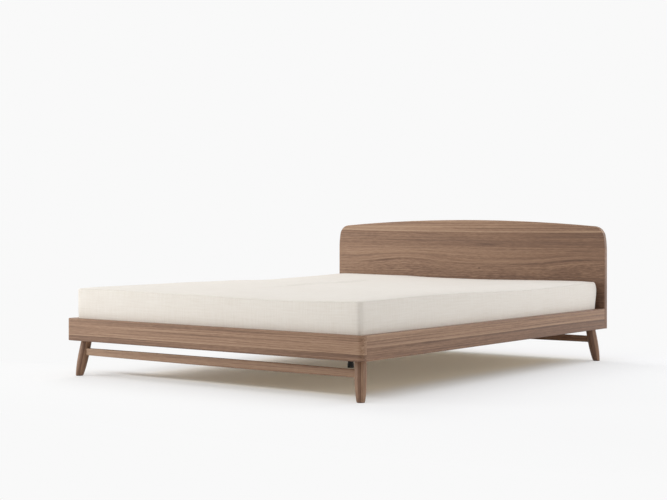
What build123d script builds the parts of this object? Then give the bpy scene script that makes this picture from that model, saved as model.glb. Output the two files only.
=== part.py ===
from build123d import *

import os
from math import sqrt

os.makedirs("parts", exist_ok=True)

# Low platform bed with an arched slab headboard, in millimetres.
# X runs across the bed, Y from foot to head, Z up from the floor.
# The origin is on the floor, under the middle of the bed.

# --- Driving sizes: mattress and its room in the frame ---
mattress_width = 1600.0
mattress_length = 2040.0
mattress_thickness = 160.0
mattress_corner_radius = 26.0
mattress_edge_radius = 16.0
mattress_side_gap = 3.0
mattress_foot_gap = 3.0
mattress_head_gap = 14.0
mattress_recess = 30.0
cover_thickness = 3.0
comfort_layer_thickness = 45.0
rest_gap = 0.3

# --- Rails ---
rail_thickness = 32.0
rail_height = 101.0
rail_bottom = 163.0
rail_edge_radius = 3.0
rail_corner_radius = 23.0
corner_lap = 26.0

# --- Headboard ---
headboard_thickness = 30.0
headboard_top = 711.0
headboard_arch_radius = 9600.0
headboard_lean_height = 156.0
headboard_lean_radius = 430.0
headboard_corner_radius = 60.0
headboard_edge_radius = 4.0

# --- Legs ---
leg_inset_side = 40.0
leg_inset_foot = 42.0
leg_inset_head = 40.0
leg_lean_x = 0.125
leg_lean_y = 0.165
leg_foot_radius = 16.5
leg_ankle_radius = 21.2
leg_ankle_height = 34.0
leg_belly_radius = 24.5
leg_belly_height = 102.0
leg_top_radius = 23.0
leg_tenon_radius = 13.0
leg_tenon_length = 48.0
glide_thickness = 2.0
glide_radius = 15.5
glide_pin_radius = 3.0
glide_pin_length = 14.0

# --- Stretchers between the legs ---
stretcher_thickness = 19.0
stretcher_center_height = 110.0
stretcher_end_depth = 31.0
stretcher_middle_depth = 36.5
stretcher_edge_radius = 3.0
stretcher_tenon_radius = 8.0
stretcher_tenon_length = 22.0

# --- Corner blocks, ledgers and cleats ---
corner_block_size = 80.0
ledger_width = 30.0
ledger_height = 38.0
cleat_width = 30.0
cleat_height = 60.0

# --- Slats ---
slat_count = 14
slat_width = 70.0
slat_thickness = 18.0
slat_end_gap = 3.0
slat_edge_radius = 2.0

# --- Centre beam, its hangers and its leg ---
beam_width = 45.0
beam_height = 50.0
beam_side_gap = 0.2
hanger_thickness = 2.0
hanger_seat_length = 45.0
hanger_wing_width = 26.0
hanger_height = 46.0
hanger_screw_low = 16.0
hanger_screw_high = 36.0
plate_width = 44.0
plate_length = 100.0
plate_thickness = 3.0
plate_screw_spacing_x = 26.0
plate_screw_spacing_y = 76.0
tube_radius = 14.0
tube_wall = 1.5
tube_insert_length = 20.0
tube_insert_lip = 1.5
pad_radius = 15.5
pad_height = 20.0
pad_seat_height = 8.0
pad_slide_gap = 0.3
pad_floor_gap = 0.3
pad_floor_wall = 3.0
pad_travel = 5.0
pad_edge_radius = 1.0
stem_radius = 5.0
stem_length = 45.0
stem_foot_radius = 7.0
stem_foot_height = 3.0
running_gap = 0.08

# --- Fasteners ---
hole_clearance = 0.05
head_sink = 0.5
socket_depth = 2.0
cut_margin = 1.0
slat_screw_length = 42.0
slat_screw_radius = 2.0
ledger_screw_length = 50.0
ledger_screw_radius = 2.5
ledger_screw_count = 5
cleat_screw_count = 6
block_screw_bite = 22.0
block_screw_radius = 3.0
block_screw_inset = 16.0
block_side_screw_margin = 13.0
block_foot_screw_margin = 27.0
plate_screw_length = 25.0
plate_screw_radius = 2.0
bolt_radius = 4.0
bolt_head_radius = 8.0
bolt_head_height = 4.5
bolt_length = 56.0
bolt_inset = 18.0
bolt_socket_radius = 3.0
threaded_insert_radius = 6.5
threaded_insert_length = 18.0
dowel_radius = 4.0
dowel_length = 28.0
dowel_depth_in_end = 11.0
dowel_end_gap = 0.5
dowel_chamfer = 1.0

# --- Worked out from the driving sizes ---
inner_width = mattress_width + 2 * mattress_side_gap
inner_length = mattress_foot_gap + mattress_length + mattress_head_gap
frame_width = inner_width + 2 * rail_thickness
frame_length = rail_thickness + inner_length + headboard_thickness
half_width = frame_width / 2
half_inner = inner_width / 2
foot_face = -frame_length / 2
foot_inner = foot_face + rail_thickness
head_back = frame_length / 2
head_front = head_back - headboard_thickness
headboard_lean_start = headboard_top - headboard_lean_height
rail_top = rail_bottom + rail_height
rail_middle = rail_bottom + rail_height / 2
slat_top = rail_top - mattress_recess
slat_bottom = slat_top - slat_thickness
block_inner_x = half_inner - corner_block_size
ledger_start = foot_inner + corner_block_size
ledger_end = head_front - corner_block_size
beam_start = foot_inner + cleat_width + hanger_thickness
beam_end = head_front - cleat_width - hanger_thickness
beam_middle = (beam_start + beam_end) / 2
beam_bottom = slat_bottom - beam_height
beam_half_room = beam_width / 2 + beam_side_gap
hanger_bottom = beam_bottom - hanger_thickness
tube_top = beam_bottom - plate_thickness
pad_seat = pad_floor_gap + pad_seat_height
insert_bottom = pad_seat + pad_travel + rest_gap
tube_bottom = insert_bottom + tube_insert_lip
tube_inner_radius = tube_radius - tube_wall
stem_bottom = pad_floor_gap + pad_floor_wall + running_gap
stem_top = stem_bottom + stem_foot_height + stem_length

parts = {}


# --- Helpers ---
def box_between(low, high):
    """A box from its low corner to its high corner."""
    size = [b - a for a, b in zip(low, high)]
    middle = [(a + b) / 2 for a, b in zip(low, high)]
    return Pos(*middle) * Box(*size)


def cylinder_up(radius, height, bottom=0.0):
    """An upright cylinder on the Z axis that starts at the given height."""
    return Pos(0, 0, bottom) * Cylinder(radius, height, align=(Align.CENTER, Align.CENTER, Align.MIN))


def turned(points):
    """A solid of revolution about Z from (radius, height) points."""
    profile = Polyline(*[(radius, 0, height) for radius, height in points], close=True)
    return revolve(make_face(profile), Axis.Z)


def grouped(piece, places):
    """Identical separate pieces that share one node."""
    return Compound([(place * piece).solid() for place in places])


def facing(origin, direction):
    """The place of a fastener whose head faces along the given direction."""
    return Plane(origin=origin, z_dir=direction).location


def softened(bar, axis, radius):
    """A bar with its edges along one axis rounded."""
    return fillet(bar.edges().filter_by(axis), radius)


def cut_holes(solid, hole, places):
    """A solid with the same hole cut at every place."""
    return solid - [place * hole for place in places]


# --- Fasteners, each with its head's face at the origin and its point down -Z ---
def wood_screw(length, radius):
    head = 2 * radius
    screw = turned([
        (0, -head_sink),
        (head, -head_sink),
        (radius, -head_sink - radius),
        (radius, -length + 2 * radius),
        (0, -length),
    ])
    socket = extrude(RegularPolygon(0.9 * radius, 6), amount=-socket_depth - head_sink)
    return screw - socket


def wood_screw_hole(length, radius):
    c = hole_clearance
    head = 2 * radius + c
    return turned([
        (0, cut_margin),
        (head, cut_margin),
        (head, -head_sink),
        (radius + c, -head_sink - radius),
        (radius + c, -length - c),
        (0, -length - c),
    ])


def bolt():
    shank = turned([
        (0, -head_sink),
        (bolt_head_radius, -head_sink),
        (bolt_head_radius, -head_sink - bolt_head_height),
        (bolt_radius, -head_sink - bolt_head_height),
        (bolt_radius, -bolt_length),
        (0, -bolt_length),
    ])
    socket = extrude(RegularPolygon(bolt_socket_radius, 6), amount=-socket_depth - head_sink)
    return shank - socket


def bolt_hole():
    c = hole_clearance
    seat = -head_sink - bolt_head_height
    return turned([
        (0, cut_margin),
        (bolt_head_radius + c, cut_margin),
        (bolt_head_radius + c, seat),
        (bolt_radius + c, seat),
        (bolt_radius + c, -bolt_length - cut_margin),
        (0, -bolt_length - cut_margin),
    ])


def dowel():
    return chamfer(Cylinder(dowel_radius, dowel_length).edges(), dowel_chamfer)


def dowel_hole():
    return Cylinder(dowel_radius + hole_clearance, dowel_length + 2 * dowel_end_gap)


# --- Places of the fasteners ---
corners = [(side, end) for side in (-1, 1) for end in (-1, 1)]
corner_names = {
    (-1, -1): "front_left",
    (1, -1): "front_right",
    (-1, 1): "rear_left",
    (1, 1): "rear_right",
}
end_inner = {-1: foot_inner, 1: head_front}


def spread(start, end, count):
    """Evenly spaced places, with half a step left free at both ends."""
    step = (end - start) / count
    return [start + step * (i + 0.5) for i in range(count)]


slat_gap = (ledger_end - ledger_start - slat_count * slat_width) / (slat_count + 1)
slat_places = [
    ledger_start + slat_gap + slat_width / 2 + i * (slat_width + slat_gap)
    for i in range(slat_count)
]
slat_screw_x = half_inner - ledger_width / 2
slat_pitch = slat_width + slat_gap
ledger_screw_step = (slat_count - 2) / (ledger_screw_count - 1)
ledger_screw_gaps = [round(i * ledger_screw_step) for i in range(ledger_screw_count)]
ledger_screw_lines = [slat_places[gap] + slat_pitch / 2 for gap in ledger_screw_gaps]

slat_screw_places = [
    facing((x, y, slat_top), (0, 0, 1))
    for y in slat_places
    for x in (-slat_screw_x, 0, slat_screw_x)
]
ledger_screw_places = [
    facing((side * (half_inner - ledger_width), y, slat_bottom - ledger_height / 2), (-side, 0, 0))
    for side in (-1, 1)
    for y in ledger_screw_lines
]
cleat_screw_places = [
    facing((x, end_inner[end] - end * cleat_width, slat_top - cleat_height / 2), (0, -end, 0))
    for end in (-1, 1)
    for x in spread(-block_inner_x, block_inner_x, cleat_screw_count)
]
block_side_screw_depth = corner_block_size - block_screw_inset
block_side_screw_places = [
    facing((side * block_inner_x, end_inner[end] - end * block_side_screw_depth, z), (-side, 0, 0))
    for side, end in corners
    for z in (rail_bottom + block_side_screw_margin, slat_top - block_side_screw_margin)
]
block_foot_screw_places = [
    facing((side * (block_inner_x + block_screw_inset), foot_inner + corner_block_size, z), (0, 1, 0))
    for side in (-1, 1)
    for z in (rail_bottom + block_foot_screw_margin, slat_top - block_foot_screw_margin)
]
bolt_places = [
    facing((side * (block_inner_x + bolt_inset), head_back, z), (0, 1, 0))
    for side in (-1, 1)
    for z in (rail_bottom + bolt_inset, slat_top - bolt_inset)
]
dowel_heights = (rail_middle - rail_height / 4, rail_middle + rail_height / 4)
dowel_x = half_width - rail_thickness / 2
dowel_shift = dowel_length / 2 - dowel_depth_in_end
dowel_ends = {-1: foot_face + corner_lap, 1: head_front}
dowel_places = [
    facing((side * dowel_x, dowel_ends[end] - end * dowel_shift, z), (0, 1, 0))
    for side, end in corners
    for z in dowel_heights
]
wing_screw_x = beam_half_room + hanger_thickness + hanger_wing_width / 2
beam_ends = {-1: beam_start, 1: beam_end}
wing_screw_places = [
    facing((side * wing_screw_x, beam_ends[end], hanger_bottom + rise), (0, -end, 0))
    for side, end in corners
    for rise in (hanger_screw_low, hanger_screw_high)
]
plate_screw_x = plate_screw_spacing_x / 2
plate_screw_y = plate_screw_spacing_y / 2
plate_screw_places = [
    facing((side * plate_screw_x, beam_middle + end * plate_screw_y, tube_top), (0, 0, -1))
    for side, end in corners
]
threaded_insert_places = [place * Pos(0, 0, -headboard_thickness) for place in bolt_places]


block_screw_length = corner_block_size + block_screw_bite
slat_hole = wood_screw_hole(slat_screw_length, slat_screw_radius)
ledger_hole = wood_screw_hole(ledger_screw_length, ledger_screw_radius)
block_hole = wood_screw_hole(block_screw_length, block_screw_radius)
plate_hole = wood_screw_hole(plate_screw_length, plate_screw_radius)
insert_hole = cylinder_up(
    threaded_insert_radius + hole_clearance, threaded_insert_length, -threaded_insert_length
)


# --- Legs: turned, leaning outward to the floor, with a round tenon at the top ---
def leg_foot_y(end):
    inset = {-1: leg_inset_foot, 1: leg_inset_head}[end]
    return end * (frame_length / 2 - inset)


def leg_axis_at(side, end, height):
    """The point where a leg's axis passes the given height."""
    x = side * (half_width - leg_inset_side - leg_lean_x * height)
    y = leg_foot_y(end) - end * leg_lean_y * height
    return Vector(x, y, height)


def leg_place(side, end, height):
    """A place on a leg's axis, with Z along the axis."""
    direction = Vector(-side * leg_lean_x, -end * leg_lean_y, 1)
    return Plane(origin=leg_axis_at(side, end, height), z_dir=direction).location


def leg_body(side, end):
    """The turned leg, cut level at its glide and under its corner block."""
    spare = 2 * leg_foot_radius
    outline = Spline(
        (leg_foot_radius, 0, 0),
        (leg_ankle_radius, 0, leg_ankle_height),
        (leg_belly_radius, 0, leg_belly_height),
        (leg_top_radius, 0, rail_bottom + spare),
    )
    rim = Polyline(
        (leg_top_radius, 0, rail_bottom + spare),
        (0, 0, rail_bottom + spare),
        (0, 0, -spare),
        (leg_foot_radius, 0, -spare),
        (leg_foot_radius, 0, 0),
    )
    blank = leg_place(side, end, 0) * revolve(make_face(outline + rim), Axis.Z)
    reach = 4 * leg_belly_radius + rail_bottom
    foot = leg_axis_at(side, end, 0)
    band = box_between(
        (foot.X - reach, foot.Y - reach, glide_thickness),
        (foot.X + reach, foot.Y + reach, rail_bottom),
    )
    return blank & band


def leg_tenon(side, end, clearance):
    """The tenon, or its hole when it is given a clearance."""
    buried = leg_belly_radius
    length = buried + leg_tenon_length + clearance
    tenon = cylinder_up(leg_tenon_radius + clearance, length, -buried)
    return leg_place(side, end, rail_bottom) * tenon


def stretcher_tenon(side, end, clearance):
    """The stretcher's round end tenon, or its hole when it is given a clearance."""
    axis = leg_axis_at(side, end, stretcher_center_height)
    start = axis.X - side * 2 * leg_belly_radius
    length = leg_belly_radius + stretcher_tenon_length + clearance
    middle = start + side * length / 2
    tenon = Cylinder(stretcher_tenon_radius + clearance, length, rotation=(0, 90, 0))
    return Pos(middle, axis.Y, axis.Z) * tenon


def glide(side, end, clearance=0.0):
    """A plastic glide with a pin into the leg's foot."""
    foot = leg_axis_at(side, end, 0)
    disc = cylinder_up(glide_radius, glide_thickness)
    pin = cylinder_up(glide_pin_radius + clearance, glide_pin_length + clearance, glide_thickness)
    return Pos(foot.X, foot.Y, 0) * (disc + pin)


leg_bodies = {corner: leg_body(*corner) for corner in corners}
for side, end in corners:
    name = corner_names[side, end]
    leg = leg_bodies[side, end] + leg_tenon(side, end, 0)
    leg -= stretcher_tenon(side, end, hole_clearance)
    parts[f"leg_{name}"] = leg - glide(side, end, hole_clearance)
    parts[f"leg_glide_{name}"] = glide(side, end)


# --- Stretchers: slim rails, deeper in the middle, coped to the round legs ---
def stretcher(end):
    left = leg_axis_at(-1, end, stretcher_center_height)
    right = leg_axis_at(1, end, stretcher_center_height)
    half_end = stretcher_end_depth / 2
    half_middle = stretcher_middle_depth / 2
    top = ThreePointArc((left.X, half_end), (0, half_middle), (right.X, half_end))
    bottom = ThreePointArc((right.X, -half_end), (0, -half_middle), (left.X, -half_end))
    ends = [
        Line((right.X, half_end), (right.X, -half_end)),
        Line((left.X, -half_end), (left.X, half_end)),
    ]
    bar = extrude(Plane.XZ * make_face([top, bottom] + ends), stretcher_thickness / 2, both=True)
    bar = fillet(bar.edges().filter_by(GeomType.CIRCLE), stretcher_edge_radius)
    bar = Pos(0, left.Y, stretcher_center_height) * bar
    bar -= [leg_bodies[-1, end], leg_bodies[1, end]]
    return bar + [stretcher_tenon(-1, end, 0), stretcher_tenon(1, end, 0)]


parts["stretcher_foot"] = stretcher(-1)
parts["stretcher_head"] = stretcher(1)


# --- Corner blocks: they carry the legs and tie the rails together ---
for side, end in corners:
    inner = end_inner[end]
    near, far = sorted((side * block_inner_x, side * half_inner))
    low, high = sorted((inner, inner - end * corner_block_size))
    block = box_between((near, low, rail_bottom), (far, high, slat_top))
    block -= leg_tenon(side, end, hole_clearance)
    block = cut_holes(block, block_hole, block_side_screw_places)
    if end < 0:
        block = cut_holes(block, block_hole, block_foot_screw_places)
    else:
        block = cut_holes(block, bolt_hole(), bolt_places)
        block = cut_holes(block, insert_hole, threaded_insert_places)
    parts[f"corner_block_{corner_names[side, end]}"] = block


# --- Foot rail: rounded at its ends and rabbeted to take the side rails ---
foot_rail = box_between((-half_width, foot_face, rail_bottom), (half_width, foot_inner, rail_top))
outer_corners = foot_rail.edges().filter_by(Axis.Z).group_by(Axis.Y)[0]
foot_rail = fillet(outer_corners, min(rail_corner_radius, corner_lap - cut_margin))
foot_rail = fillet(foot_rail.faces().filter_by(Axis.Z).edges(), rail_edge_radius)
for side in (-1, 1):
    near, far = sorted((side * half_inner, side * (half_width + cut_margin)))
    foot_rail -= box_between(
        (near, foot_face + corner_lap, rail_bottom - cut_margin),
        (far, foot_inner + cut_margin, rail_top + cut_margin),
    )
foot_rail = cut_holes(foot_rail, dowel_hole(), dowel_places)
foot_rail = cut_holes(foot_rail, block_hole, block_foot_screw_places)
parts["foot_rail"] = cut_holes(foot_rail, ledger_hole, cleat_screw_places)


# --- Side rails, from the foot rail's rabbets to the headboard ---
for side, name in ((-1, "left"), (1, "right")):
    near, far = sorted((side * half_inner, side * half_width))
    rail = box_between((near, foot_face + corner_lap, rail_bottom), (far, head_front, rail_top))
    rail = softened(rail, Axis.Y, rail_edge_radius)
    rail = cut_holes(rail, dowel_hole(), dowel_places)
    rail = cut_holes(rail, block_hole, block_side_screw_places)
    parts[f"side_rail_{name}"] = cut_holes(rail, ledger_hole, ledger_screw_places)


# --- Headboard: one slab with a shallow arch, leaning sides and round shoulders ---
def arch_height(x):
    return headboard_top - headboard_arch_radius + sqrt(headboard_arch_radius**2 - x**2)


def side_reach(z):
    rise = z - headboard_lean_start
    return half_width - headboard_lean_radius + sqrt(headboard_lean_radius**2 - rise**2)


shoulder_x = half_width
for _ in range(20):
    shoulder_z = arch_height(shoulder_x)
    shoulder_x = side_reach(shoulder_z)
lean_middle = (headboard_lean_start + shoulder_z) / 2

right_side = ThreePointArc(
    (half_width, headboard_lean_start), (side_reach(lean_middle), lean_middle), (shoulder_x, shoulder_z)
)
arch = ThreePointArc((shoulder_x, shoulder_z), (0, headboard_top), (-shoulder_x, shoulder_z))
left_side = ThreePointArc(
    (-shoulder_x, shoulder_z), (-side_reach(lean_middle), lean_middle), (-half_width, headboard_lean_start)
)
straight = Polyline(
    (-half_width, headboard_lean_start),
    (-half_width, rail_bottom),
    (half_width, rail_bottom),
    (half_width, headboard_lean_start),
)
outline = make_face([right_side, arch, left_side, straight])
outline = fillet(outline.vertices().group_by(Axis.Y)[-1], headboard_corner_radius)
headboard = Pos(0, head_back, 0) * extrude(Plane.XZ * outline, headboard_thickness)
rims = headboard.edges().group_by(Axis.Y)
headboard = fillet(rims[0] + rims[-1], headboard_edge_radius)
headboard = cut_holes(headboard, bolt_hole(), bolt_places)
headboard = cut_holes(headboard, dowel_hole(), dowel_places)
parts["headboard"] = cut_holes(headboard, ledger_hole, cleat_screw_places)


# --- Ledgers along the side rails and cleats along both ends ---
for side, name in ((-1, "left"), (1, "right")):
    near, far = sorted((side * (half_inner - ledger_width), side * half_inner))
    ledger = box_between((near, ledger_start, slat_bottom - ledger_height), (far, ledger_end, slat_bottom))
    ledger = cut_holes(ledger, slat_hole, slat_screw_places)
    parts[f"ledger_{name}"] = cut_holes(ledger, ledger_hole, ledger_screw_places)

for end, name in ((-1, "foot"), (1, "head")):
    low, high = sorted((end_inner[end], end_inner[end] - end * cleat_width))
    cleat = box_between((-block_inner_x, low, slat_top - cleat_height), (block_inner_x, high, slat_top))
    cleat = cut_holes(cleat, plate_hole, wing_screw_places)
    parts[f"cleat_{name}"] = cut_holes(cleat, ledger_hole, cleat_screw_places)


# --- Slats across the ledgers and the centre beam ---
slat_half = half_inner - slat_end_gap
slat = box_between((-slat_half, -slat_width / 2, slat_bottom), (slat_half, slat_width / 2, slat_top))
slat = softened(slat, Axis.X, slat_edge_radius)
slat = cut_holes(slat, slat_hole, [Pos(x, 0, slat_top) for x in (-slat_screw_x, 0, slat_screw_x)])
for number, y in enumerate(slat_places, 1):
    parts[f"slat_{number:02d}"] = Pos(0, y, 0) * slat


# --- Centre beam in its steel hangers ---
beam = box_between((-beam_width / 2, beam_start, beam_bottom), (beam_width / 2, beam_end, slat_bottom))
beam = cut_holes(beam, slat_hole, slat_screw_places)
parts["centre_beam"] = cut_holes(beam, plate_hole, plate_screw_places)

for end, name in ((-1, "foot"), (1, "head")):
    face = beam_ends[end]
    back = face + end * hanger_thickness
    reach = face - end * hanger_seat_length
    outer = beam_half_room + hanger_thickness
    wing = outer + hanger_wing_width
    top = hanger_bottom + hanger_height
    low, high = sorted((face, back))
    start, stop = sorted((back, reach))
    hanger = box_between((-wing, low, hanger_bottom), (wing, high, top))
    hanger += box_between((-outer, start, hanger_bottom), (outer, stop, beam_bottom))
    for inner, edge in ((-outer, -beam_half_room), (beam_half_room, outer)):
        hanger += box_between((inner, start, hanger_bottom), (edge, stop, top))
    parts[f"beam_hanger_{name}"] = cut_holes(hanger, plate_hole, wing_screw_places)


# --- Centre leg: steel tube under the beam, standing in a cup-shaped screw foot ---
plate = box_between(
    (-plate_width / 2, beam_middle - plate_length / 2, tube_top),
    (plate_width / 2, beam_middle + plate_length / 2, beam_bottom),
)
parts["centre_leg_plate"] = cut_holes(plate, plate_hole, plate_screw_places)

centre = Pos(0, beam_middle, 0)
tube_length = tube_top - tube_bottom
tube = cylinder_up(tube_radius, tube_length, tube_bottom)
parts["centre_leg_tube"] = centre * (tube - cylinder_up(tube_inner_radius, tube_length, tube_bottom))

tube_insert = cylinder_up(tube_radius, tube_insert_lip, insert_bottom)
tube_insert += cylinder_up(tube_inner_radius - hole_clearance, tube_insert_length, tube_bottom)
stem_bore = cylinder_up(stem_radius + hole_clearance, tube_insert_length + tube_insert_lip, insert_bottom)
parts["centre_leg_insert"] = centre * (tube_insert - stem_bore)

stem = cylinder_up(stem_foot_radius, stem_foot_height, stem_bottom)
stem += cylinder_up(stem_radius, stem_length, stem_bottom + stem_foot_height)
parts["levelling_stem"] = centre * stem

pad = cylinder_up(pad_radius, pad_height, pad_floor_gap)
pad = fillet(pad.edges().group_by(Axis.Z)[0], pad_edge_radius)
pad -= cylinder_up(tube_radius + pad_slide_gap, pad_height, pad_seat)
socket_height = stem_foot_height + 2 * running_gap
pad -= cylinder_up(stem_foot_radius + running_gap, socket_height, pad_floor_gap + pad_floor_wall)
pad -= cylinder_up(stem_radius + running_gap, pad_height, pad_floor_gap + pad_floor_wall)
parts["levelling_pad"] = centre * pad


# --- Mattress: foam core and comfort layer in a fabric cover ---
mattress_start = foot_inner + mattress_foot_gap
mattress_bottom = slat_top + rest_gap
mattress_top = mattress_bottom + mattress_thickness


def mattress_form(inset):
    """The mattress's rounded outline, drawn in by an inset on every side."""
    half = mattress_width / 2 - inset
    form = box_between(
        (-half, mattress_start + inset, mattress_bottom + inset),
        (half, mattress_start + mattress_length - inset, mattress_top - inset),
    )
    form = softened(form, Axis.Z, mattress_corner_radius - inset)
    return fillet(form.faces().filter_by(Axis.Z).edges(), mattress_edge_radius - inset)


parts["mattress_cover"] = mattress_form(0) - mattress_form(cover_thickness)
filling = mattress_form(cover_thickness + rest_gap)
layer_line = mattress_top - cover_thickness - comfort_layer_thickness
far = frame_length
lower = box_between((-far, -far, 0), (far, far, layer_line))
parts["mattress_core"] = filling & lower
parts["mattress_comfort_layer"] = filling - lower


# --- Fasteners ---
parts["rail_dowels"] = grouped(dowel(), dowel_places)
parts["headboard_bolts"] = grouped(bolt(), bolt_places)
threaded_insert = cylinder_up(threaded_insert_radius, threaded_insert_length, -threaded_insert_length)
threaded_insert -= cylinder_up(bolt_radius + hole_clearance, threaded_insert_length, -threaded_insert_length)
parts["headboard_threaded_inserts"] = grouped(threaded_insert, threaded_insert_places)
block_screw = wood_screw(block_screw_length, block_screw_radius)
parts["corner_block_screws"] = grouped(block_screw, block_side_screw_places + block_foot_screw_places)
ledger_screw = wood_screw(ledger_screw_length, ledger_screw_radius)
parts["ledger_screws"] = grouped(ledger_screw, ledger_screw_places)
parts["cleat_screws"] = grouped(ledger_screw, cleat_screw_places)
plate_screw = wood_screw(plate_screw_length, plate_screw_radius)
parts["hanger_screws"] = grouped(plate_screw, wing_screw_places)
parts["centre_plate_screws"] = grouped(plate_screw, plate_screw_places)
slat_screw = wood_screw(slat_screw_length, slat_screw_radius)
parts["slat_screws"] = grouped(slat_screw, slat_screw_places)

for node, shape in parts.items():
    export_step(shape, f"parts/{node}.step")
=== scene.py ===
import math

import bmesh
import bpy
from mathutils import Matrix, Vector
from mathutils.bvhtree import BVHTree


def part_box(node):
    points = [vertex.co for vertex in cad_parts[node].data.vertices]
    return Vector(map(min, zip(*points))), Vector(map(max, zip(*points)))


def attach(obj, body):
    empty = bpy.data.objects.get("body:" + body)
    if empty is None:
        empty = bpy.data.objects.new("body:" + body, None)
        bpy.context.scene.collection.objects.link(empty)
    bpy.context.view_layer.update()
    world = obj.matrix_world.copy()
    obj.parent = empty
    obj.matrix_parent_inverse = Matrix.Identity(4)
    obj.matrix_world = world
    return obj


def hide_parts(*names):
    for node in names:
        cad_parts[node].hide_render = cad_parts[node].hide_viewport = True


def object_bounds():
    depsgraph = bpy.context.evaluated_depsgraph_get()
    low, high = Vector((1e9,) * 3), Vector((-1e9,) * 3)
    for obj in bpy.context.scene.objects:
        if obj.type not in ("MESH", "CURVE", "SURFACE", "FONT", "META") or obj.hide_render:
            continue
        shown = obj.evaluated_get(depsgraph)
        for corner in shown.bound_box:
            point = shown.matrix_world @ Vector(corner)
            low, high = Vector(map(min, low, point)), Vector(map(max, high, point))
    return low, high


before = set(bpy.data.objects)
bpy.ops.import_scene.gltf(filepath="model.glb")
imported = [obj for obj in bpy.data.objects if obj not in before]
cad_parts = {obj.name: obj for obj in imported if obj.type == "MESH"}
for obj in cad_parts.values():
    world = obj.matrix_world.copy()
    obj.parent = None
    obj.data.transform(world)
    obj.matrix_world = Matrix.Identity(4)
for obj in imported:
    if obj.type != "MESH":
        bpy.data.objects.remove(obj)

# Dressing of a low platform bed: walnut, softwood, linen, steel and plastic finishes,
# a soft mattress with its seams, a pale floor, studio lamps and the camera.
# Metres, Z up, +Y towards the headboard.

cad_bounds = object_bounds()
scene = bpy.context.scene

MATTRESS_NODES = ("mattress_cover", "mattress_core", "mattress_comfort_layer")
WHITE = (1.0, 1.0, 1.0)


# ---------------------------------------------------------------- node helpers
def plug(tree, value, socket):
    """Feeds a socket from another socket, or sets it to a plain value."""
    if isinstance(value, bpy.types.NodeSocket):
        tree.links.new(value, socket)
    else:
        socket.default_value = value


def feed(tree, node, inputs):
    """Feeds a node's inputs, given by name or by number."""
    for key, value in dict(inputs).items():
        plug(tree, value, node.inputs[key])


def add_node(tree, kind, inputs=(), **settings):
    """A new node with its settings made and its inputs fed."""
    node = tree.nodes.new(kind)
    for setting, value in settings.items():
        setattr(node, setting, value)
    feed(tree, node, inputs)
    return node


def new_material(name):
    """A material, its tree, and the shader that feeds its surface."""
    made = bpy.data.materials.new(name)
    made.use_nodes = True
    tree = made.node_tree
    tree.nodes.clear()
    shader = add_node(tree, "ShaderNodeBsdfPrincipled")
    add_node(tree, "ShaderNodeOutputMaterial", {"Surface": shader.outputs["BSDF"]})
    return made, tree, shader


def object_coordinates(tree):
    return add_node(tree, "ShaderNodeTexCoord").outputs["Object"]


def mapping(tree, vector, location=(0, 0, 0), rotation=(0, 0, 0)):
    node = add_node(tree, "ShaderNodeMapping", {"Vector": vector, "Location": location, "Rotation": rotation})
    return node.outputs["Vector"]


def separate(tree, vector):
    node = add_node(tree, "ShaderNodeSeparateXYZ", {"Vector": vector})
    return node.outputs["X"], node.outputs["Y"], node.outputs["Z"]


def combine(tree, x, y, z):
    return add_node(tree, "ShaderNodeCombineXYZ", {"X": x, "Y": y, "Z": z}).outputs["Vector"]


def math_node(tree, operation, *values):
    return add_node(tree, "ShaderNodeMath", enumerate(values), operation=operation).outputs["Value"]


def times(tree, a, b):
    return math_node(tree, "MULTIPLY", a, b)


def minus(tree, a, b):
    return math_node(tree, "SUBTRACT", a, b)


def add(tree, base, value, share=1.0):
    """The base plus a share of the value."""
    return math_node(tree, "MULTIPLY_ADD", value, share, base)


def noise_value(tree, vector, scale, detail, roughness):
    node = add_node(tree, "ShaderNodeTexNoise", {
        "Vector": vector, "Scale": scale, "Detail": detail, "Roughness": roughness,
    })
    return node.outputs["Fac"]


def stretched_noise(tree, places, scales, detail, roughness, shifts=(0.0, 0.0, 0.0)):
    """Noise with its own number of repeats a metre along each axis."""
    stretched = [math_node(tree, "MULTIPLY_ADD", *axis) for axis in zip(places, scales, shifts)]
    return noise_value(tree, combine(tree, *stretched), 1.0, detail, roughness)


def remap(tree, value, low, high, to_low=0.0, to_high=1.0):
    node = add_node(tree, "ShaderNodeMapRange", {
        "Value": value, "From Min": low, "From Max": high, "To Min": to_low, "To Max": to_high,
    })
    return node.outputs["Result"]


def ramp(tree, value, stops, interpolation="LINEAR"):
    """A colour ramp from (position, colour) stops; a single number means grey."""
    node = add_node(tree, "ShaderNodeValToRGB", {"Fac": value})
    node.color_ramp.interpolation = interpolation
    elements = node.color_ramp.elements
    while len(elements) < len(stops):
        elements.new(0.5)
    for element, (position, colour) in zip(elements, stops):
        if isinstance(colour, (int, float)):
            colour = (colour, colour, colour)
        element.position = position
        element.color = (*colour, 1.0)
    return node.outputs["Color"]


def curve(tree, value, stops, interpolation="CARDINAL"):
    """A curve through (place, height) stops, which stays level beyond its ends."""
    first, last = stops[0][0], stops[-1][0]
    heights = [height for _, height in stops]
    low, high = min(heights), max(heights)
    shares = [((place - first) / (last - first), (height - low) / (high - low)) for place, height in stops]
    grey = ramp(tree, remap(tree, value, first, last), shares, interpolation)
    return remap(tree, grey, 0.0, 1.0, low, high)


def hump(tree, value, middle, width):
    """1 at the middle, falling softly to 0 a width away on both sides."""
    away = math_node(tree, "DIVIDE", minus(tree, value, middle), width)
    fall = math_node(tree, "MAXIMUM", minus(tree, 1.0, times(tree, away, away)), 0.0)
    return times(tree, fall, fall)


def opaque(colour):
    """A plain colour with its alpha; a socket stays as it is."""
    return (*colour, 1.0) if isinstance(colour, tuple) else colour


def mix_colour(tree, factor, a, b):
    node = add_node(tree, "ShaderNodeMix", data_type="RGBA")
    feed(tree, node, {0: factor, 6: opaque(a), 7: opaque(b)})
    return node.outputs[2]


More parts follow.
